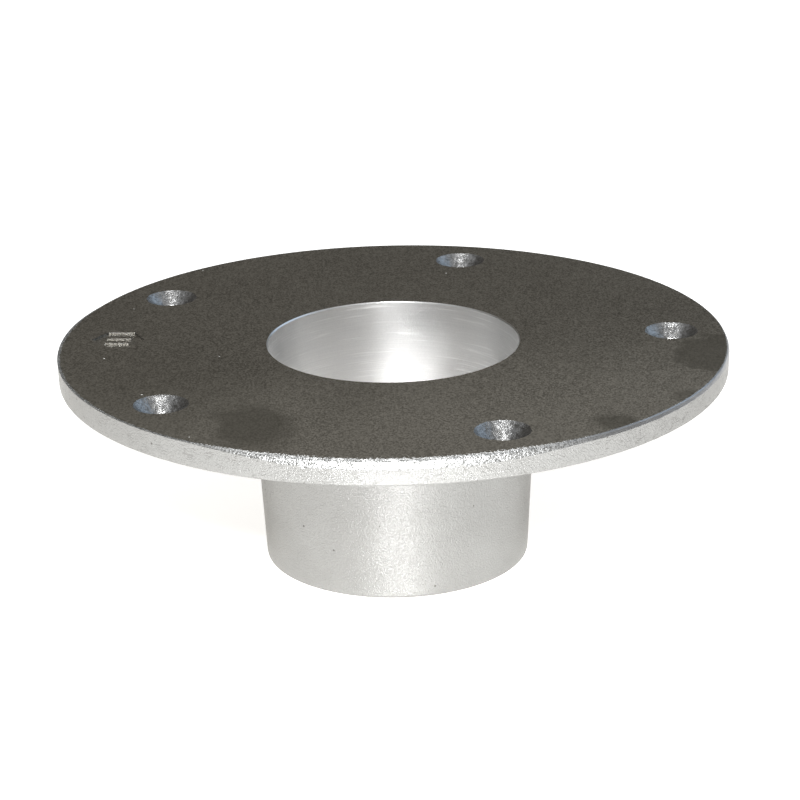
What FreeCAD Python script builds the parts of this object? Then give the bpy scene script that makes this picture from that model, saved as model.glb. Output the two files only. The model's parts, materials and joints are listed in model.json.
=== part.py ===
"""Stanchion base: one flanged aluminium casting with a tapered socket, set flush into a deck or floor.

Frame: millimetres, +Z up, origin on the socket's axis in the plane of the flange's underside, which is
the face that bears on the deck. The first screw hole lies on +X. The socket hangs below Z = 0.
"""

import FreeCAD, Part  # noqa: E401  FreeCAD has to be imported first

import os

import Sketcher

OUT_FOLDER = "parts"

# alias, value (millimetres, degrees or a count), what it is
SIZES = [
    ("flange_dia", 165.0, "flange across its top face, edge break included"),
    ("flange_thick", 6.0, "flange thickness, and height of the top face over the deck"),
    ("rim_draft", 0.15, "how far the rim leans in at its underside"),
    ("rim_break", 0.9, "bevel of the rim's upper edge"),
    ("rim_round", 0.5, "round of the rim's lower edge"),
    ("overall_height", 55.0, "top face to socket foot"),
    ("socket_root_dia", 71.0, "socket outside, where it meets the flange"),
    ("socket_foot_dia", 66.0, "socket outside, at its foot"),
    ("root_round", 3.0, "fillet between socket and flange underside"),
    ("foot_round", 0.8, "round of the foot's outer edge"),
    ("bore_mouth_dia", 62.0, "tapered bore at the top face"),
    ("bore_foot_dia", 57.5, "tapered bore at the foot"),
    ("mouth_break", 0.3, "bevel of the bore's upper edge"),
    ("bore_foot_break", 0.5, "bevel of the bore's lower edge"),
    ("screw_circle_dia", 138.0, "circle through the screw holes"),
    ("screw_count", 5, "number of screw holes"),
    ("screw_hole_dia", 6.5, "clearance hole for an M6 or number 14 screw"),
    ("countersink_dia", 13.0, "countersink at the top face"),
    ("countersink_angle", 90.0, "countersink's included angle"),
    ("mark_angle", 173.5, "direction of the cavity mark from +X"),
    ("mark_reach", 68.5, "centre of the cavity mark from the axis"),
    ("mark_flats", 11.5, "hexagonal recess across its flats"),
    ("mark_depth", 0.5, "depth of the recess"),
    ("bar_length", 6.0, "tally bar, pointing at the axis"),
    ("bar_width", 1.4, "tally bar, across"),
    ("bar_pitch", 3.6, "from one tally bar to the other"),
]


def make_size_sheet(doc):
    """The spreadsheet of driving dimensions: name, value and note in each row."""
    sheet = doc.addObject("Spreadsheet::Sheet", "sizes")
    for row, (alias, value, note) in enumerate(SIZES, start=1):
        sheet.set(f"A{row}", alias)
        sheet.set(f"B{row}", str(value))
        sheet.set(f"C{row}", note)
        sheet.setAlias(f"B{row}", alias)
    doc.recompute()
    return sheet


def make_sketch(body, name, plane):
    """An empty sketch lying on one of the body's own origin planes."""
    sketch = body.newObject("Sketcher::SketchObject", name)
    base = next(f for f in body.Origin.OriginFeatures if f.Role == plane)
    sketch.AttachmentSupport = [(base, "")]
    sketch.MapMode = "FlatFace"
    return sketch


def pin_corner(sketch, line, across, up):
    """Ties a line's start point to the sketch's axes with two sizes, each an expression or 0."""
    for kind, axis, size in (("DistanceX", -2, across), ("DistanceY", -1, up)):
        if size == 0:
            sketch.addConstraint(Sketcher.Constraint("PointOnObject", line, 1, axis))
            continue
        value = float(sketch.evalExpression(size))
        index = sketch.addConstraint(Sketcher.Constraint(kind, -1, 1, line, 1, value))
        sketch.setExpression(f"Constraints[{index}]", size)


def draw_outline(sketch, corners):
    """A closed outline of straight lines through corners, each given by two sizes."""

    def place(corner):
        across, up = (float(sketch.evalExpression(str(size))) for size in corner)
        return FreeCAD.Vector(across, up, 0)

    first = sketch.GeometryCount
    count = len(corners)
    for i in range(count):
        start, end = place(corners[i]), place(corners[(i + 1) % count])
        sketch.addGeometry(Part.LineSegment(start, end), False)
    for i in range(count):
        sketch.addConstraint(
            Sketcher.Constraint("Coincident", first + i, 2, first + (i + 1) % count, 1)
        )
    for i, corner in enumerate(corners):
        pin_corner(sketch, first + i, *corner)


def round_edges(shape, radius, height):
    """Names of the shape's circular edges about the Z axis at that radius and height."""
    found = []
    for number, edge in enumerate(shape.Edges, start=1):
        curve = edge.Curve
        if not isinstance(curve, Part.Circle):
            continue
        centre = curve.Center
        on_axis = abs(centre.x) + abs(centre.y) < 1e-6
        if on_axis and abs(curve.Radius - radius) < 1e-4 and abs(centre.z - height) < 1e-4:
            found.append(f"Edge{number}")
    if not found:
        raise RuntimeError(f"no edge of radius {radius} at height {height}")
    return found


def dress_edge(body, kind, name, size, radius, height):
    """A Fillet or Chamfer of the body's circular edge at that radius and height."""
    base = body.Tip
    dressed = body.newObject(f"PartDesign::{kind}", name)
    dressed.Base = (base, round_edges(base.Shape, radius, height))
    dressed.setExpression("Radius" if kind == "Fillet" else "Size", size)
    body.Document.recompute()


def turn_profile(body):
    """Flange and socket in one turn about Z: half of the casting's section, revolved."""
    foot = "sizes.flange_thick - sizes.overall_height"
    sketch = make_sketch(body, "section", "XZ_Plane")
    draw_outline(
        sketch,
        [
            ("sizes.bore_mouth_dia / 2", "sizes.flange_thick"),
            ("sizes.flange_dia / 2", "sizes.flange_thick"),
            ("sizes.flange_dia / 2 - sizes.rim_draft", 0),
            ("sizes.socket_root_dia / 2", 0),
            ("sizes.socket_foot_dia / 2", foot),
            ("sizes.bore_foot_dia / 2", foot),
        ],
    )
    turned = body.newObject("PartDesign::Revolution", "flange_and_socket")
    turned.Profile = sketch
    turned.ReferenceAxis = (sketch, ["V_Axis"])
    turned.Angle = 360.0
    body.Document.recompute()


def dress_edges(body, sheet):
    """The cast rounds and machined bevels of the turned shape."""
    top = sheet.flange_thick
    foot = sheet.flange_thick - sheet.overall_height
    under = sheet.flange_dia / 2 - sheet.rim_draft
    for kind, name, size, radius, height in (
        ("Fillet", "root_fillet", "root_round", sheet.socket_root_dia / 2, 0),
        ("Fillet", "foot_edge", "foot_round", sheet.socket_foot_dia / 2, foot),
        ("Fillet", "rim_lower_edge", "rim_round", under, 0),
        ("Chamfer", "rim_upper_edge", "rim_break", sheet.flange_dia / 2, top),
        ("Chamfer", "bore_mouth_edge", "mouth_break", sheet.bore_mouth_dia / 2, top),
        ("Chamfer", "bore_foot_edge", "bore_foot_break", sheet.bore_foot_dia / 2, foot),
    ):
        dress_edge(body, kind, name, f"sizes.{size}", radius, height)


def sink_screw_holes(body, sheet):
    """One countersunk clearance hole on +X, repeated round the flange."""
    sketch = make_sketch(body, "first_hole", "XY_Plane")
    sketch.setExpression("AttachmentOffset.Base.z", "sizes.flange_thick")
    centre = FreeCAD.Vector(sheet.screw_circle_dia / 2, 0, 0)
    hole_radius = sheet.screw_hole_dia / 2
    sketch.addGeometry(Part.Circle(centre, FreeCAD.Vector(0, 0, 1), hole_radius), False)
    sketch.addConstraint(Sketcher.Constraint("PointOnObject", 0, 3, -1))
    for kind, points, size, value in (
        ("DistanceX", (-1, 1, 0, 3), "sizes.screw_circle_dia / 2", centre.x),
        ("Radius", (0,), "sizes.screw_hole_dia / 2", hole_radius),
    ):
        index = sketch.addConstraint(Sketcher.Constraint(kind, *points, value))
        sketch.setExpression(f"Constraints[{index}]", size)
    body.Document.recompute()

    hole = body.newObject("PartDesign::Hole", "screw_hole")
    hole.Profile = sketch
    body.Document.recompute()
    hole.ThreadType = 0
    hole.HoleCutType = "Countersink"
    hole.DepthType = "ThroughAll"
    hole.setExpression("Diameter", "sizes.screw_hole_dia")
    hole.setExpression("HoleCutDiameter", "sizes.countersink_dia")
    hole.setExpression("HoleCutCountersinkAngle", "sizes.countersink_angle")
    body.Document.recompute()

    ring = body.newObject("PartDesign::PolarPattern", "screw_holes")
    ring.Originals = [hole]
    ring.Axis = (sketch, ["N_Axis"])
    ring.Angle = 360.0
    ring.setExpression("Occurrences", "sizes.screw_count")
    body.Tip = ring
    body.Document.recompute()


def cast_cavity_mark(body):
    """A shallow hexagonal recess in the top face that leaves two plain tally bars standing."""
    sketch = make_sketch(body, "cavity_mark", "XY_Plane")
    for part, size in (
        ("Base.x", "sizes.mark_reach * cos(sizes.mark_angle)"),
        ("Base.y", "sizes.mark_reach * sin(sizes.mark_angle)"),
        ("Base.z", "sizes.flange_thick"),
        ("Rotation.Angle", "sizes.mark_angle"),
    ):
        sketch.setExpression(f"AttachmentOffset.{part}", size)
    point, shoulder = "sizes.mark_flats / sqrt(3)", "sizes.mark_flats / sqrt(3) / 2"
    side = "sizes.mark_flats / 2"
    draw_outline(
        sketch,
        [
            (point, 0),
            (shoulder, side),
            (f"-{shoulder}", side),
            (f"-{point}", 0),
            (f"-{shoulder}", f"-{side}"),
            (shoulder, f"-{side}"),
        ],
    )
    end = "sizes.bar_length / 2"
    for sign in ("", "-"):
        near = f"{sign}(sizes.bar_pitch - sizes.bar_width) / 2"
        far = f"{sign}(sizes.bar_pitch + sizes.bar_width) / 2"
        draw_outline(sketch, [(f"-{end}", near), (end, near), (end, far), (f"-{end}", far)])
    pocket = body.newObject("PartDesign::Pocket", "cavity_mark_recess")
    pocket.Profile = sketch
    pocket.setExpression("Length", "sizes.mark_depth")
    body.Document.recompute()


def make_base_casting(doc, sheet):
    """The whole object: flange, socket, screw holes and mark are one casting, so one body."""
    body = doc.addObject("PartDesign::Body", "base_casting")
    body.Label = "base_casting"
    turn_profile(body)
    dress_edges(body, sheet)
    sink_screw_holes(body, sheet)
    cast_cavity_mark(body)
    return body


def check(doc, bodies):
    """Stops if any object failed to build, or a body isn't one sound solid."""
    for item in doc.Objects:
        if "Invalid" in item.State or "Error" in item.State:
            raise RuntimeError(f"{item.Label} failed: {item.State}")
    for body in bodies:
        shape = body.Shape
        if shape.isNull() or not shape.isValid() or len(shape.Solids) != 1:
            raise RuntimeError(f"{body.Label} isn't one valid solid")


def write(bodies):
    """One STEP file for each piece, named by its label."""
    os.makedirs(OUT_FOLDER, exist_ok=True)
    for body in bodies:
        body.Shape.exportStep(os.path.join(OUT_FOLDER, f"{body.Label}.step"))
        box = body.Shape.optimalBoundingBox(False)
        print(
            f"{body.Label}: {box.XLength:.2f} x {box.YLength:.2f} x {box.ZLength:.2f} mm, "
            f"{body.Shape.Volume / 1000:.1f} cm3"
        )


def main():
    doc = FreeCAD.newDocument("stanchion_base")
    sheet = make_size_sheet(doc)
    bodies = [make_base_casting(doc, sheet)]
    check(doc, bodies)
    write(bodies)


main()
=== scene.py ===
"""Stanchion base: a sand-cast aluminium deck flange with a tapered socket, on a pale studio floor.

Metres, +Z up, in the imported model's own frame: origin on the socket's axis in the plane of the flange's
underside, first screw hole on +X.
"""

import json
import math

import bpy
from mathutils import Matrix, Quaternion, Vector


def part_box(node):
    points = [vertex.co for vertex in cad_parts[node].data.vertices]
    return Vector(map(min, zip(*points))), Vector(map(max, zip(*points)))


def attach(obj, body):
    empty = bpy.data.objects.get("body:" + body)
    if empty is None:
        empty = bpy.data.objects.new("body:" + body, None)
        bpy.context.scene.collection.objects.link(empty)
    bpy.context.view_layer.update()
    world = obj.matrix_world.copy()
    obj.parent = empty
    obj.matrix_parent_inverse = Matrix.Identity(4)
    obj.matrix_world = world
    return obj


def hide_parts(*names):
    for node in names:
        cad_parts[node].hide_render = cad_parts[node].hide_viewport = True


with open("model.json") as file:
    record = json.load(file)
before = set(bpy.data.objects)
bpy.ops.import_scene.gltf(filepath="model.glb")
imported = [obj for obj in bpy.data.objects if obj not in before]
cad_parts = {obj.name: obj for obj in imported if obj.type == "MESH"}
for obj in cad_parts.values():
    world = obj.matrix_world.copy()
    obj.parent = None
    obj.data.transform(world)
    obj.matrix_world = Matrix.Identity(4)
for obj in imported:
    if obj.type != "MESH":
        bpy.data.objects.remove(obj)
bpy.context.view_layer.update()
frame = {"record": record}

MM = 0.001

# ---- sizes of the casting -------------------------------------------------------------------------

LOWEST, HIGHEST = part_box("base_casting")
SCREWS = next(m for m in frame["record"]["mounts"] if m["name"] == "deck_screws")

TOP = HIGHEST.z
FOOT = LOWEST.z
FLANGE_RADIUS = HIGHEST.x
SCREW_COUNT = SCREWS["dims"]["count"]
SCREW_REACH = SCREWS["dims"]["pcd_mm"] / 2 * MM
SCREW_HOLE_RADIUS = SCREWS["dims"]["hole_r_mm"] * MM
COUNTERSINK_RADIUS = 6.5 * MM

MARK_ANGLE = math.radians(173.5)
MARK_REACH = 68.5 * MM
MARK_FLATS = 11.5 * MM
MARK_DEPTH = 0.5 * MM
BAR_LENGTH, BAR_WIDTH, BAR_PITCH = 6.0 * MM, 1.4 * MM, 3.6 * MM

# Sides of the rim, by their angle from +X: its edge is hardly broken on one and raggedest on the other.
SHARP_SIDE = math.radians(200)
RAGGED_SIDE = math.radians(266)

COLUMNS = 720  # mesh cells round the casting
MOUTH_EDGE_RADIUS = 31.3 * MM

# Corners of the casting's section, in order round it: radius, height, round, and for the stretch that
# starts there the mesh cell's length. Skin is 1 where sand left it uneven, and ragged is 1 where the
# linishing broke the rim's edge.
SECTION = (
    # radius, height, round, cell, skin, ragged
    ("bore mouth", 31.0 * MM, TOP - 0.3 * MM, 0, 9 * MM, 0, 0),
    ("mouth edge", MOUTH_EDGE_RADIUS, TOP, 0, 60 * MM, 0, 0),
    ("linished edge", FLANGE_RADIUS - 1.1 * MM, TOP, 0, 0.35 * MM, 0, 1),
    ("shoulder crest", FLANGE_RADIUS - 0.6 * MM, TOP - 0.35 * MM, 0.25 * MM, 0.45 * MM, 1, 1),
    ("rim shoulder", FLANGE_RADIUS, TOP - 1.8 * MM, 0.5 * MM, 0.7 * MM, 1, 1),
    ("rim foot", FLANGE_RADIUS - 0.13 * MM, 0, 0.5 * MM, 2.4 * MM, 1, 0),
    ("root", 35.5 * MM, 0, 3 * MM, 0.9 * MM, 1, 0),
    ("foot", 33.0 * MM, FOOT, 0.8 * MM, 1.2 * MM, 1, 0),
    ("bore foot edge", 29.25 * MM, FOOT, 0, 1 * MM, 0, 0),
    ("bore foot", 28.75 * MM, FOOT + 0.5 * MM, 0, 9 * MM, 0, 0),
)


# ---- wiring nodes ---------------------------------------------------------------------------------


class Wire:
    """A node's output socket. Arithmetic on it adds Math nodes to its graph."""

    def __init__(self, graph, socket):
        self.graph = graph
        self.socket = socket

    def _math(self, operation, *operands):
        return self.graph.node("ShaderNodeMath", {"operation": operation}, dict(enumerate(operands)))

    def __add__(self, other):
        return self._math("ADD", self, other)

    def __sub__(self, other):
        return self._math("SUBTRACT", self, other)

    def __rsub__(self, other):
        return self._math("SUBTRACT", other, self)

    def __mul__(self, other):
        return self._math("MULTIPLY", self, other)

    def __truediv__(self, other):
        return self._math("DIVIDE", self, other)

    def __rtruediv__(self, other):
        return self._math("DIVIDE", other, self)

    def __gt__(self, other):
        return self._math("GREATER_THAN", self, other)

    def __lt__(self, other):
        return self._math("LESS_THAN", self, other)

    def largest(self, other):
        return self._math("MAXIMUM", self, other)

    def least(self, other):
        return self._math("MINIMUM", self, other)

    __radd__ = __add__
    __rmul__ = __mul__


class Graph:
    """A node tree under construction, for geometry or for a material."""

    def __init__(self, tree):
        self.tree = tree

    def node(self, kind, settings=None, sockets=None, out=0):
        """Adds a node: its settings, then a value or a Wire for each socket. Gives back one output."""
        made = self.tree.nodes.new(kind)
        for name, value in (settings or {}).items():
            if name == "choices":
                while len(made.index_switch_items) < value:
                    made.index_switch_items.new()
            else:
                setattr(made, name, value)
        for name, value in (sockets or {}).items():
            socket = self._shown(made.inputs, name)
            for wire in value if isinstance(value, list) else [value]:
                if isinstance(wire, Wire):
                    self.tree.links.new(wire.socket, socket)
                else:
                    socket.default_value = wire
        return Wire(self, self._shown(made.outputs, out))

    @staticmethod
    def _shown(sockets, name):
        """The socket with that name, or at that place, among those that the node's settings leave on."""
        shown = [s for s in sockets if s.enabled]
        return shown[name] if isinstance(name, int) else next(s for s in shown if s.name == name)

    def vector(self, operation, *operands, out=0):
        """A Vector Math node."""
        return self.node("ShaderNodeVectorMath", {"operation": operation}, dict(enumerate(operands)), out)

    def parts(self, vector):
        """The three components of a vector."""
        split = self.tree.nodes.new("ShaderNodeSeparateXYZ")
        self.tree.links.new(vector.socket, split.inputs[0])
        return [Wire(self, s) for s in split.outputs]

    def joined(self, x, y, z):
        """A vector from its three components."""
        return self.node("ShaderNodeCombineXYZ", None, {0: x, 1: y, 2: z})

    def noise(self, at, cell, detail=2.0, roughness=0.5):
        """Smooth noise from 0 to 1 whose lumps are about one cell across."""
        sockets = {"Vector": at, "Scale": 1 / cell, "Detail": detail, "Roughness": roughness}
        return self.node("ShaderNodeTexNoise", None, sockets)

    def along(self, vector, side):
        """How far a vector goes towards a side of the casting, given by its angle from +X."""
        x, y, _ = self.parts(vector)
        return x * math.cos(side) + y * math.sin(side)

    def spread(self, value, low, high):
        """0 at low, 1 at high and smooth between them."""
        settings = {"interpolation_type": "SMOOTHSTEP"}
        return self.node("ShaderNodeMapRange", settings, {"Value": value, "From Min": low, "From Max": high})


class Form(Graph):
    """A geometry node tree with named inputs, run once to make a plain mesh."""

    def __init__(self, name):
        super().__init__(bpy.data.node_groups.new(name, "GeometryNodeTree"))
        self.tree.interface.new_socket("Geometry", in_out="OUTPUT", socket_type="NodeSocketGeometry")
        self.entry = self.tree.nodes.new("NodeGroupInput")
        self.values = {}

    def size(self, name, value):
        """A named input of the tree, with the value that it is run with."""
        kind = "NodeSocketInt" if isinstance(value, int) else "NodeSocketFloat"
        socket = self.tree.interface.new_socket(name, in_out="INPUT", socket_type=kind)
        self.values[socket.identifier] = value
        return Wire(self, next(s for s in self.entry.outputs if s.identifier == socket.identifier))

    def kept(self, geometry, name, value, domain="POINT"):
        """The geometry with a number stored on it under a name."""
        settings = {"data_type": "FLOAT", "domain": domain}
        sockets = {"Geometry": geometry, "Name": name, "Value": value}
        return self.node("GeometryNodeStoreNamedAttribute", settings, sockets)

    def read(self, name):
        """A stored number."""
        return self.node("GeometryNodeInputNamedAttribute", {"data_type": "FLOAT"}, {"Name": name})

    def dressed(self, geometry, finish, where=True):
        """The geometry with a finish on the faces that are picked."""
        sockets = {"Geometry": geometry, "Selection": where, "Material": finish}
        return self.node("GeometryNodeSetMaterial", None, sockets)

    def run(self, geometry, name):
        """The finished tree's geometry as an object with a plain mesh and no modifier."""
        exit_node = self.tree.nodes.new("NodeGroupOutput")
        self.tree.links.new(geometry.socket, exit_node.inputs[0])
        piece = bpy.data.objects.new(name, bpy.data.meshes.new(name))
        bpy.context.scene.collection.objects.link(piece)
        modifier = piece.modifiers.new("form", "NODES")
        modifier.node_group = self.tree
        for identifier, value in self.values.items():
            modifier[identifier] = value
        evaluated = piece.evaluated_get(bpy.context.evaluated_depsgraph_get())
        plain = bpy.data.meshes.new_from_object(evaluated)
        piece.modifiers.remove(modifier)
        piece.data = plain
        plain.name = name
        return piece


# ---- the casting's form ---------------------------------------------------------------------------


def section_curve(form):
    """The casting's section as a closed line in the plane of radius and height, rounded and divided."""
    index = form.node("GeometryNodeInputIndex")

    def by_corner(kind, values):
        settings = {"data_type": kind, "choices": len(values)}
        choices = {str(i): v for i, v in enumerate(values)}
        return form.node("GeometryNodeIndexSwitch", settings, {"Index": index, **choices})

    corners = [
        form.joined(form.size(f"{name} radius", radius), 0 - form.size(f"{name} height", height), 0.0)
        for name, radius, height, *_ in SECTION
    ]
    at = by_corner("VECTOR", corners)
    points = form.node("GeometryNodePoints", None, {"Count": len(SECTION), "Position": at})
    for place, name in enumerate(("round", "cell", "skin", "ragged"), start=3):
        points = form.kept(points, name, by_corner("FLOAT", [float(row[place]) for row in SECTION]))
    line = form.node("GeometryNodePointsToCurves", None, {"Points": points})
    line = form.node("GeometryNodeSetSplineCyclic", None, {"Geometry": line, "Cyclic": True})
    steps = form.size("Steps in a round", 4)
    line = form.node(
        "GeometryNodeFilletCurve",
        {"mode": "POLY"},
        {"Curve": line, "Count": steps, "Radius": form.read("round"), "Limit Radius": True},
    )
    here = form.node("GeometryNodeInputPosition")
    following = form.node("GeometryNodeOffsetPointInCurve", None, {"Offset": 1}, out="Point Index")
    there = form.node(
        "GeometryNodeFieldAtIndex", {"data_type": "FLOAT_VECTOR"}, {"Value": here, "Index": following}
    )
    stretch = form.vector("DISTANCE", here, there, out="Value")
    return form.node("GeometryNodeSubdivideCurve", None, {"Curve": line, "Cuts": stretch / form.read("cell")})


def sand_skin(form, mesh):
    """The mesh with its skin sunk unevenly where its "skin" is 1, and its rim's edge broken unevenly.

    Where "ragged" is 1, a point is drawn towards the rim's sharp corner: nearly all the way on the sharp
    side, by a share that wanders on the ragged side, and part of the way between them.
    """
    at = form.node("GeometryNodeInputPosition")
    normal = form.node("GeometryNodeInputNormal")
    lumps = form.noise(at, form.size("Sand lump", 4.5 * MM), detail=2.0)
    grains = form.noise(at, form.size("Sand grain", 1.0 * MM), detail=3.0, roughness=0.6)
    coarse = form.size("Lump depth", 0.05 * MM)
    fine = form.size("Grain depth", 0.09 * MM)
    depth = form.read("skin") * (lumps * coarse + grains * fine)
    nibble = form.noise(at, form.size("Edge nibble", 1.5 * MM), detail=2.0, roughness=0.7)
    rim_radius = form.size("Rim radius", FLANGE_RADIUS)
    sharp = form.spread(form.along(at, SHARP_SIDE) / rim_radius, 0.55, 0.85)
    ragged = form.spread(form.along(at, RAGGED_SIDE) / rim_radius, 0.84, 0.99)
    nearly_sharp = form.size("Sharp side's shrink", 0.95)
    sharp = (sharp * nearly_sharp).largest((1 - ragged) * form.size("Edge shrink", 0.45))
    least_bite = form.size("Least edge bite", 0.05)
    usual_nibble = form.size("Usual nibble", 0.4)
    bite = (nibble - usual_nibble) * (ragged * form.size("Edge bite", 0.9) + least_bite) * (1 - sharp)
    x, y, _ = form.parts(at)
    outward = form.vector("NORMALIZE", form.joined(x, y, 0.0))
    corner = form.vector("MULTIPLY_ADD", outward, (FLANGE_RADIUS,) * 3, form.joined(0.0, 0.0, TOP))
    to_corner = form.vector("SUBTRACT", corner, at)
    grown = form.vector("SCALE", to_corner, form.read("ragged") * (sharp - bite))
    sunk = form.vector("SCALE", normal, 0 - depth)
    moved = form.vector("ADD", grown, sunk)
    return form.node("GeometryNodeSetPosition", None, {"Geometry": mesh, "Offset": moved})


def screw_hole_cutters(form):
    """One solid for each screw hole: a countersink over a clearance hole, its wall as rough as cast."""
    radius = form.size("Screw hole radius", SCREW_HOLE_RADIUS)
    rim = form.size("Countersink radius", COUNTERSINK_RADIUS)
    top = form.size("Top", TOP)
    spare = form.size("Cutter overrun", 1.0 * MM)
    depth = top + spare * 2
    sides = form.size("Countersink columns", 64)
    rings = form.size("Countersink rings", 26)
    rod = form.node(
        "GeometryNodeMeshCylinder",
        {"fill_type": "TRIANGLE_FAN"},
        {"Vertices": sides, "Side Segments": rings, "Radius": 1.0, "Depth": depth},
    )
    middle = form.joined(0.0, 0.0, top / 2)
    rod = form.node("GeometryNodeTransform", None, {"Geometry": rod, "Translation": middle})
    x, y, z = form.parts(form.node("GeometryNodeInputPosition"))
    reach = radius.largest(rim - (top - z))
    place = form.joined(x * reach, y * reach, z)
    rod = form.node("GeometryNodeSetPosition", None, {"Geometry": rod, "Position": place})
    screws = {"Vertices": form.size("Screws", SCREW_COUNT), "Radius": form.size("Screw reach", SCREW_REACH)}
    circle = form.node("GeometryNodeMeshCircle", None, screws)
    rods = form.node("GeometryNodeInstanceOnPoints", None, {"Points": circle, "Instance": rod})
    rods = form.node("GeometryNodeRealizeInstances", None, {"Geometry": rods})
    at = form.node("GeometryNodeInputPosition")
    normal = form.node("GeometryNodeInputNormal")
    chunk = form.noise(at, form.size("Countersink lump", 1.4 * MM), detail=2.0, roughness=0.6)
    swell = (chunk - 0.5) * form.size("Countersink roughness", 0.55 * MM)
    moved = form.vector("SCALE", normal, swell)
    rods = form.node("GeometryNodeSetPosition", None, {"Geometry": rods, "Offset": moved})
    return form.kept(rods, "sunk", 1.0, domain="FACE")


def mark_cutter(form):
    """A shallow hexagonal solid with two bars missing: it leaves them standing in the recess."""
    flats = form.size("Mark across flats", MARK_FLATS)
    depth = form.size("Mark depth", MARK_DEPTH)
    tall = depth * 2
    tile = form.node(
        "GeometryNodeMeshCylinder",
        {"fill_type": "TRIANGLE_FAN"},
        {"Vertices": 6, "Side Segments": 1, "Radius": flats / math.sqrt(3), "Depth": tall},
    )
    bar_size = form.joined(form.size("Bar length", BAR_LENGTH), form.size("Bar width", BAR_WIDTH), tall * 2)
    bar = form.node("GeometryNodeMeshCube", None, {"Size": bar_size})
    pitch = form.size("Bar pitch", BAR_PITCH)
    bars = []
    for side in (-0.5, 0.5):
        shift = form.joined(0.0, pitch * side, 0.0)
        bars.append(form.node("GeometryNodeTransform", None, {"Geometry": bar, "Translation": shift}))
    tile = form.node(
        "GeometryNodeMeshBoolean",
        {"operation": "DIFFERENCE", "solver": "EXACT"},
        {"Mesh 1": tile, "Mesh 2": bars},
    )
    place = (MARK_REACH * math.cos(MARK_ANGLE), MARK_REACH * math.sin(MARK_ANGLE), TOP)
    tile = form.node(
        "GeometryNodeTransform",
        None,
        {"Geometry": tile, "Translation": place, "Rotation": (0, 0, MARK_ANGLE)},
    )
    return form.kept(tile, "sunk", 1.0, domain="FACE")


def turned_stock(form):
    """The section swept once round the axis. The sweep's path has a radius, which the section gives back."""
    path_radius = 1 * MM
    columns = form.size("Columns", COLUMNS)
    path = form.node("GeometryNodeCurvePrimitiveCircle", None, {"Resolution": columns, "Radius": path_radius})
    back = (-path_radius, 0, 0)
    profile = form.node("GeometryNodeSetPosition", None, {"Geometry": section_curve(form), "Offset": back})
    return form.node("GeometryNodeCurveToMesh", None, {"Curve": path, "Profile Curve": profile})


def casting_form(finishes):
    """The casting: turned stock with its skin, less the screw holes and the mark, each face in its finish."""
    form = Form("casting_form")
    mesh = sand_skin(form, turned_stock(form))
    stock, *cutters = [
        form.dressed(solid, finishes["cast_skin"])
        for solid in (mesh, screw_hole_cutters(form), mark_cutter(form))
    ]
    mesh = form.node(
        "GeometryNodeMeshBoolean",
        {"operation": "DIFFERENCE", "solver": "MANIFOLD"},
        {"Mesh 1": stock, "Mesh 2": cutters},
    )
    mesh = form.node("GeometryNodeRealizeInstances", None, {"Geometry": mesh})
    x, y, z = form.parts(form.node("GeometryNodeInputPosition"))
    nx, ny, nz = form.parts(form.node("GeometryNodeInputNormal"))
    reach = form.vector("LENGTH", form.joined(x, y, 0.0), out="Value")
    level = nz > form.size("Level from", 0.97)
    facing_up = nz > 0.5
    facing_in = (nx * x + ny * y) / reach < -0.7
    near_the_top = form.size("Top face", TOP) - z < MARK_DEPTH + 0.1 * MM
    bore_mouth = form.size("Bore mouth", MOUTH_EDGE_RADIUS - 0.01 * MM)
    leaning = nz > form.size("Shoulder's least lean", 0.22)
    on_shoulder = (reach > form.size("Shoulder", FLANGE_RADIUS - 1.6 * MM)) * leaning
    masks = {
        "broken_edge": on_shoulder * (1 - level),
        "linished_face": level * near_the_top * (reach > bore_mouth),
        "turned_bore": (facing_in + facing_up) * (reach < bore_mouth),
        "rough_pocket": (form.read("sunk") > 0.5) * (1 - level),
    }
    curved = {"Geometry": mesh, "Shade Smooth": 1 - masks["linished_face"]}
    mesh = form.node("GeometryNodeSetShadeSmooth", None, curved)
    fold = form.node("GeometryNodeInputMeshEdgeAngle", None, None, out="Unsigned Angle")
    sharp = fold > form.size("Sharp from", math.radians(40))
    creased = {"Geometry": mesh, "Selection": sharp, "Shade Smooth": False}
    mesh = form.node("GeometryNodeSetShadeSmooth", {"domain": "EDGE"}, creased)
    for name, mask in masks.items():
        mesh = form.dressed(mesh, finishes[name], mask)
    return form.run(mesh, "casting")


# ---- finishes -------------------------------------------------------------------------------------


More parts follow.
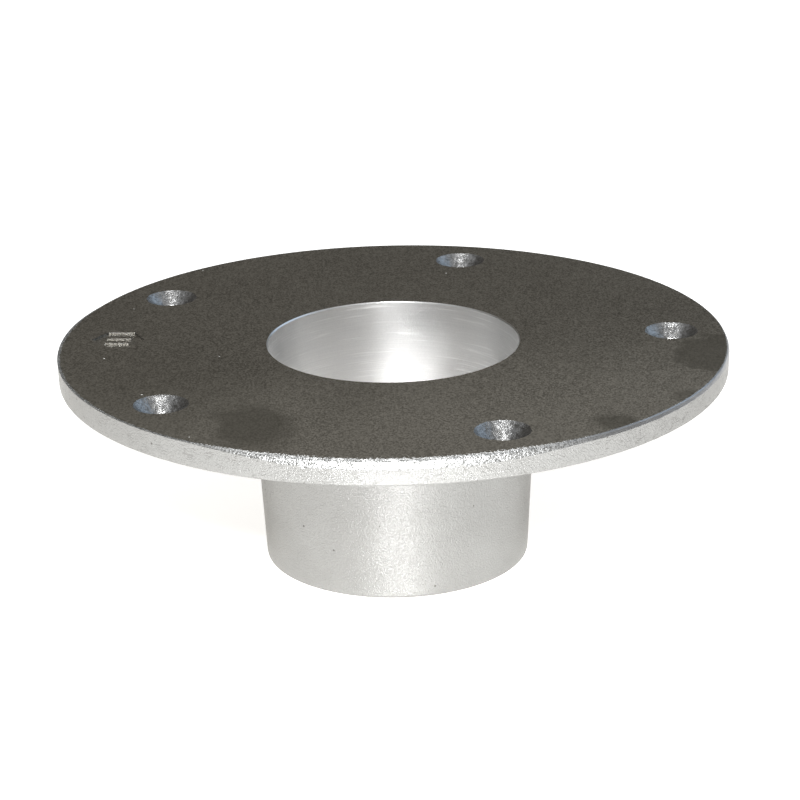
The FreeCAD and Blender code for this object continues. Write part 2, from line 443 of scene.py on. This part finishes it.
class Finish(Graph):
    """A metal's material: a Principled shader whose patterns follow the object's own coordinates."""

    def __init__(self, name):
        self.material = bpy.data.materials.new(name)
        self.material.use_nodes = True
        super().__init__(self.material.node_tree)
        self.shader = self.tree.nodes["Principled BSDF"]
        self.shader.inputs["Metallic"].default_value = 1.0
        self.at = self.node("ShaderNodeTexCoord", None, None, out="Object")
        self.x, self.y, self.z = self.parts(self.at)

    def put(self, **values):
        """Sets or links the shader's own sockets; an underscore stands for a space."""
        for name, value in values.items():
            socket = self.shader.inputs[name.replace("_", " ")]
            if isinstance(value, Wire):
                self.tree.links.new(value.socket, socket)
            else:
                socket.default_value = value

    def blend(self, share, under, over):
        """One colour over another, by a share from 0 to 1."""
        colours = {"Factor": share, "A": under, "B": over}
        rgba = {n: (*c, 1) if isinstance(c, tuple) else c for n, c in colours.items()}
        return self.node("ShaderNodeMix", {"data_type": "RGBA"}, rgba)

    def cells(self, cell, out="Distance", at=None, feature="F1"):
        """Scattered cells: how far a point is from its cell's middle, or the cell's own random colour."""
        sockets = {"Vector": at or self.at, "Scale": 1 / cell}
        return self.node("ShaderNodeTexVoronoi", {"feature": feature}, sockets, out)

    def specks(self, cell, radius, share):
        """1 inside small round specks, of which only a share of the cells holds one."""
        lot, size, _ = self.parts(self.cells(cell, out="Color"))
        limit = (size * 0.7 + 0.5) * (radius / cell)
        inside = 1 - self.spread(self.cells(cell), limit * 0.6, limit)
        return inside * (lot < share)

    def bump(self, height, distance, strength=1.0, over=None):
        """A surface normal raised by a height from 0 to 1 times a distance."""
        sockets = {"Height": height, "Distance": distance, "Strength": strength}
        if over is not None:
            sockets["Normal"] = over
        return self.node("ShaderNodeBump", None, sockets)


# Colours of the metal, dark and pale, for each way that its surface was left.
SKIN_DARK, SKIN_PALE, FLAW = (0.25, 0.246, 0.235), (0.41, 0.407, 0.397), (0.12, 0.11, 0.10)
GROUND_DARK, GROUND_PALE, STAIN = (0.07, 0.061, 0.045), (0.41, 0.38, 0.325), (0.15, 0.138, 0.11)
# The near-white chip colour is partly the bare metal of the chips and partly a painted highlight on the front
# of the rim's broken edge.
GLINT, CHIPS_WITH_PAINTED_HIGHLIGHT = (0.95, 0.94, 0.9), (0.85, 0.84, 0.82)
CRUMB_DARK, CRUMB_PALE, SHOULDER = (0.18, 0.178, 0.17), (0.5, 0.5, 0.495), (0.38, 0.38, 0.385)
TURNED_DARK, TURNED_PALE, SCORE = (0.66, 0.655, 0.65), (0.86, 0.855, 0.845), (0.98, 0.98, 0.97)
POCKET_DARK, POCKET_PALE = (0.21, 0.207, 0.2), (0.43, 0.43, 0.43)


def skin_pattern(f):
    """The look of metal cast in sand: its colour, how dark its flaws are, and its height."""
    cloud = f.noise(f.at, 14 * MM, detail=3.0)
    mottle = f.noise(f.at, 1.3 * MM, detail=3.0, roughness=0.65)
    grain = f.cells(0.3 * MM)
    dust = f.noise(f.at, 0.35 * MM, detail=2.0, roughness=0.7)
    on_rim = f.spread(f.z, -0.8 * MM, 0.4 * MM)
    patches = f.spread(f.noise(f.at, 2.5 * MM, detail=2.0), 0.5, 0.6)
    cracked = patches * (on_rim * 0.94 + 0.06)
    flattened = f.joined(f.x, f.y, f.z * 6 + dust * (0.5 * MM))
    gap = f.cells(4 * MM, at=flattened, feature="DISTANCE_TO_EDGE")
    cracks = (1 - f.spread(gap, 0.015, 0.06)) * cracked * 0.5
    small_pits = f.specks(3.4 * MM, 0.38 * MM, 0.45)
    large_pits = f.specks(9 * MM, 0.6 * MM, 0.3)
    flaws = small_pits.largest(large_pits).largest(cracks)
    colour = f.blend(cloud * 0.4 + dust * 0.6, SKIN_DARK, SKIN_PALE)
    colour = f.blend(flaws * 0.75, colour, FLAW)
    crumbs = f.spread(f.noise(f.at, 0.45 * MM, detail=1.0), 0.46, 0.6)
    return colour, flaws, mottle * 0.2 - grain * 0.35 + crumbs * 0.3 - flaws * 0.15


def cast_skin():
    """Sand-cast aluminium as it left the mould: pale, satin, grainy, with pits and short folds."""
    f = Finish("cast_skin")
    colour, flaws, height = skin_pattern(f)
    f.put(
        Base_Color=colour,
        Metallic=0.85,
        Roughness=0.29 + flaws * 0.3,
        Specular_Tint=(0.7, 0.69, 0.67, 1),
        Normal=f.bump(height, 0.11 * MM),
    )
    return f.material


STAINS = (
    # across, away, half length, half width, turn, how dark, how soft its edge
    (79 * MM, -18 * MM, 12 * MM, 13.5 * MM, 0, 0.8, 0.08),
    (-34 * MM, -58 * MM, 8 * MM, 14 * MM, 12, 0.85, 0.45),
    (-58 * MM, -40 * MM, 22 * MM, 30 * MM, 12, 0.3, 0.6),
    (47 * MM, -63.5 * MM, 4.5 * MM, 5 * MM, 35, 0.95, 0.5),
    (67 * MM, -48 * MM, 5 * MM, 4 * MM, -40, 0.6, 0.5),
)


def linished_face():
    """The flange's top, ground flat on a belt: dull, dark and speckled, with a few handling stains."""
    f = Finish("linished_face")
    cloud = f.noise(f.at, 30 * MM, detail=3.0)
    # Painted light: the face is painted paler towards the front (-Y), the side that the lamp by the camera
    # falls on.
    towards_the_front = f.noise(f.at, 45 * MM, detail=2.0) * (60 * MM) - f.y
    painted_front_light = f.spread(towards_the_front, 30 * MM, 95 * MM)
    speckle = f.spread(f.noise(f.at, 0.45 * MM, detail=2.0, roughness=0.75), 0.38, 0.62)
    mottle = f.noise(f.at, 2.4 * MM, detail=3.0, roughness=0.6)
    shade = cloud * 0.2 + mottle * 0.2 + speckle * 0.55 + painted_front_light * 0.35
    colour = f.blend(shade, GROUND_DARK, GROUND_PALE)
    stained = 0.0
    wander = (f.noise(f.at, 8 * MM, detail=5.0, roughness=0.6) - 0.5) * 1.1
    for across, away, half_length, half_width, turn, darkness, soft in STAINS:
        spot = f.node(
            "ShaderNodeMapping",
            {"vector_type": "TEXTURE"},
            {
                "Vector": f.at,
                "Location": (across, away, TOP),
                "Rotation": (0, 0, math.radians(turn)),
                "Scale": (half_length, half_width, 1.0),
            },
        )
        away_from = f.vector("LENGTH", spot, out="Value") + wander
        stained = (1 - f.spread(away_from, 1 - soft, 1 + soft)) * darkness + stained
    darkest_stain = 0.85
    colour = f.blend(stained.least(darkest_stain) * 0.75, colour, STAIN)
    glints = f.specks(5.5 * MM, 0.24 * MM, 0.25)
    colour = f.blend(glints, colour, GLINT)
    skin, _, height = skin_pattern(f)
    reach = f.vector("LENGTH", f.joined(f.x, f.y, 0.0), out="Value")
    nibble = f.noise(f.at, 0.65 * MM, detail=3.0, roughness=0.7)
    bitten_and_highlit = f.spread(f.along(f.at, RAGGED_SIDE) / reach, 0.8, 0.97)
    nibbled = nibble * (bitten_and_highlit * (4.5 * MM) + 1.5 * MM)
    unground = (reach + nibbled) > FLANGE_RADIUS + bitten_and_highlit * (1.3 * MM)
    # Painted highlight: on the ragged front side the unground specks are painted near white and made less
    # metallic below, so the lamp by the camera lights them as a bright edge. Elsewhere they keep the skin's
    # colour.
    colour = f.blend(unground, colour, f.blend(bitten_and_highlit, skin, CHIPS_WITH_PAINTED_HIGHLIGHT))
    ground = f.bump(speckle * 0.8 + mottle * 0.2, 0.02 * MM, 0.25)
    f.put(
        Base_Color=colour,
        Metallic=1 - glints.largest(unground * bitten_and_highlit * 0.85),
        Roughness=0.44 + speckle * 0.08 - glints * 0.2,
        Normal=f.bump(height * unground, 1.0 * MM, over=ground),
    )
    return f.material


def broken_edge():
    """The shoulder of the rim, where the belt ran out: crumbled, bright and dusty."""
    f = Finish("broken_edge")
    chunk = f.noise(f.at, 0.9 * MM, detail=3.0, roughness=0.7)
    grain = f.noise(f.at, 0.4 * MM, detail=2.0)
    crumbled = f.spread(f.along(f.at, RAGGED_SIDE) / FLANGE_RADIUS, 0.76, 0.94)
    crumbs = f.blend(f.spread(grain, 0.36, 0.6), CRUMB_DARK, CRUMB_PALE)
    f.put(
        Base_Color=f.blend(crumbled, SHOULDER, crumbs),
        Metallic=0.93 - crumbled * 0.13,
        Roughness=0.3 + grain * 0.15,
        Normal=f.bump((chunk * 0.6 + grain * 0.4) * (crumbled * 0.92 + 0.08), 0.3 * MM),
    )
    return f.material


def turned_bore():
    """Aluminium turned on a lathe: bright, with fine lines round the axis."""
    f = Finish("turned_bore")
    drawn_out = f.vector("MULTIPLY", f.at, (0.02, 0.02, 1.0))
    lines = f.noise(drawn_out, 0.3 * MM, detail=1.0, roughness=0.6)
    less_drawn_out = f.vector("MULTIPLY", f.at, (0.03, 0.03, 1.0))
    scores = f.spread(f.noise(less_drawn_out, 0.4 * MM, detail=2.0), 0.62, 0.67) * 0.5
    dust = f.noise(f.at, 0.4 * MM, detail=2.0, roughness=0.7)
    frosted = f.spread(f.noise(f.at, 22 * MM, detail=1.0), 0.42, 0.58)
    frost = f.spread(dust, 0.45, 0.7) * frosted
    colour = f.blend(lines * 0.5 + dust * 0.5, TURNED_DARK, TURNED_PALE)
    colour = f.blend(scores * 0.8, colour, SCORE)
    f.put(
        Base_Color=colour,
        Roughness=0.29 + dust * 0.06 + scores * 0.15,
        Anisotropic=0.3,
        Anisotropic_Rotation=0.25,
        Normal=f.bump(lines * 0.4 + scores * 0.4 + frost * 0.8, 0.02 * MM, 0.7),
    )
    return f.material


def rough_pocket():
    """The countersinks' as-cast walls: coarse, with bright facets."""
    f = Finish("rough_pocket")
    chunk = f.noise(f.at, 0.8 * MM, detail=3.0, roughness=0.75)
    grain = f.noise(f.at, 0.45 * MM, detail=2.0)
    f.put(
        Base_Color=f.blend(f.spread(chunk, 0.3, 0.7), POCKET_DARK, POCKET_PALE),
        Roughness=0.22 + grain * 0.2,
        Normal=f.bump(chunk * 0.7 + grain * 0.3, 0.2 * MM),
    )
    return f.material


makers = (cast_skin, broken_edge, linished_face, turned_bore, rough_pocket)
finishes = {make.__name__: make() for make in makers}
casting = casting_form(finishes)
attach(casting, "root")
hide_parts("base_casting")

# ---- floor, light and camera ----------------------------------------------------------------------

HOLE_TURN = math.radians(-2.4)
CAMERA_LENS = 117.15
CAMERA_DISTANCE = 642.64 * MM
CAMERA_RISE = math.radians(18.628)
CAMERA_ROLL = math.radians(-1.184)
CAMERA_AIM = Vector((1.364 * MM, 0, -9.781 * MM))


def make_camera():
    """The camera stands in front of -Y, a little round towards -X, and above the flange."""
    turn = Matrix.Rotation(HOLE_TURN, 4, "Z")
    away = Vector((0, -math.cos(CAMERA_RISE), math.sin(CAMERA_RISE)))
    eye = turn @ (away * CAMERA_DISTANCE + Vector((0, 0, TOP)))
    look = turn @ CAMERA_AIM - eye
    camera = bpy.data.objects.new("camera", bpy.data.cameras.new("camera"))
    camera.data.lens = CAMERA_LENS
    camera.data.clip_start = 0.01
    camera.rotation_mode = "QUATERNION"
    camera.location = eye
    camera.rotation_quaternion = look.to_track_quat("-Z", "Y") @ Quaternion((0, 0, 1), CAMERA_ROLL)
    bpy.context.scene.collection.objects.link(camera)
    bpy.context.scene.camera = camera


FLOOR_REACH = 20.0
FLOOR_WHITE = (0.8, 0.8, 0.8, 1)
FLOOR_GLOW = (0.80, 0.782, 0.755, 1)


def make_floor():
    """A white table, lit from beneath as well: it throws no shadow on what stands on it."""
    square = ((-1, -1), (1, -1), (1, 1), (-1, 1))
    corners = [(FLOOR_REACH * x, FLOOR_REACH * y, FOOT) for x, y in square]
    mesh = bpy.data.meshes.new("floor")
    mesh.from_pydata(corners, [], [(0, 1, 2, 3)])
    floor = bpy.data.objects.new("floor", mesh)
    bpy.context.scene.collection.objects.link(floor)
    made = bpy.data.materials.new("floor_white")
    made.use_nodes = True
    shader = made.node_tree.nodes["Principled BSDF"]
    shader.inputs["Base Color"].default_value = FLOOR_WHITE
    shader.inputs["Roughness"].default_value = 0.7
    shader.inputs["Emission Color"].default_value = FLOOR_GLOW
    shader.inputs["Emission Strength"].default_value = 1.0
    mesh.materials.append(made)
    floor.visible_shadow = False


def hang(lamp, azimuth, rise, distance, aim, power):
    """Puts a lamp at a distance from what it looks at. Azimuth 0 is the camera's side, 90 is +X."""
    a, r = math.radians(azimuth), math.radians(rise)
    away = Vector((math.sin(a) * math.cos(r), -math.cos(a) * math.cos(r), math.sin(r)))
    lamp.energy = power
    made = bpy.data.objects.new(lamp.name, lamp)
    made.location = aim + away * distance
    made.rotation_mode = "QUATERNION"
    made.rotation_quaternion = away.to_track_quat("Z", "Y")
    made.visible_camera = False
    bpy.context.scene.collection.objects.link(made)


NEUTRAL, COOL, SKY = (1, 1, 1), (0.97, 0.99, 1.0), (0.6, 0.78, 1.0)

# The lamps under the table light the socket's front and the rim, and the window is behind to the right.
LAMPS = (
    # name, azimuth, rise, distance, size, power, colour
    ("lamp_by_the_camera", -3, 30, 0.8, (0.12, 0.08), 10, COOL),
    ("lamp_overhead", -5, 70, 0.9, (0.15, 0.15), 0.9, NEUTRAL),
    ("lamp_in_the_table", -4, -29, 0.8, (0.05, 0.04), 0.7, COOL),
    ("lamp_in_the_table_left", -20, -28, 0.8, (0.05, 0.04), 0.15, NEUTRAL),
    ("lamp_in_the_table_right", 14, -28, 0.8, (0.05, 0.04), 0.25, NEUTRAL),
    ("window", 122, 30, 1.5, (1.3, 1.0), 3.6, SKY),
)


def add_light(name, azimuth, rise, distance, size, power, colour):
    """A soft rectangular light that looks at the origin."""
    lamp = bpy.data.lights.new(name, "AREA")
    lamp.shape = "RECTANGLE"
    lamp.size, lamp.size_y = size
    lamp.color = colour
    hang(lamp, azimuth, rise, distance, Vector((0, 0, 0)), power)


BEAM_LENGTH = 0.8
BEAM_WIDTH = 3 * MM
BEAM_REACH = 30 * MM  # how far a beam spreads from the axis at the socket's foot, to just past the bore


def add_beam(name, azimuth, rise, power):
    """A narrow round beam from beneath the table into the bore's foot."""
    lamp = bpy.data.lights.new(name, "SPOT")
    lamp.spot_size = 2 * math.atan(BEAM_REACH * abs(math.sin(math.radians(rise))) / BEAM_LENGTH)
    lamp.spot_blend = 0.1
    lamp.shadow_soft_size = BEAM_WIDTH
    hang(lamp, azimuth, rise, BEAM_LENGTH, Vector((0, 0, FOOT)), power)


# Side by side, the beams draw the bright wedge on the bore's far wall.
BEAMS = (
    # azimuth, rise, power
    (6, -33, 2),
    (-4, -36, 2.1),
    (-12, -39, 2.3),
    (-20, -39, 2.8),
    (-28, -39, 3.6),
    (-36, -39, 4.4),
    (-44, -39, 4.8),
)


ROOM, CEILING = (0.115, 0.108, 0.098, 1), (0.6, 0.61, 0.62, 1)


def make_surroundings():
    """A dark room up to eye level under a pale ceiling."""
    world = bpy.data.worlds.new("surroundings")
    world.use_nodes = True
    g = Graph(world.node_tree)
    _, _, rise = g.parts(g.node("ShaderNodeTexCoord", None, None, out="Generated"))
    share = g.spread(rise, 0.5, 1.0)
    colour = g.node("ShaderNodeMix", {"data_type": "RGBA"}, {"Factor": share, "A": ROOM, "B": CEILING})
    g.tree.links.new(colour.socket, g.tree.nodes["Background"].inputs["Color"])
    bpy.context.scene.world = world
    bpy.context.scene.view_settings.view_transform = "Standard"


make_camera()
make_floor()
make_surroundings()
for lamp in LAMPS:
    add_light(*lamp)
for azimuth, rise, power in BEAMS:
    add_beam(f"beam_in_the_table_{azimuth}", azimuth, rise, power)
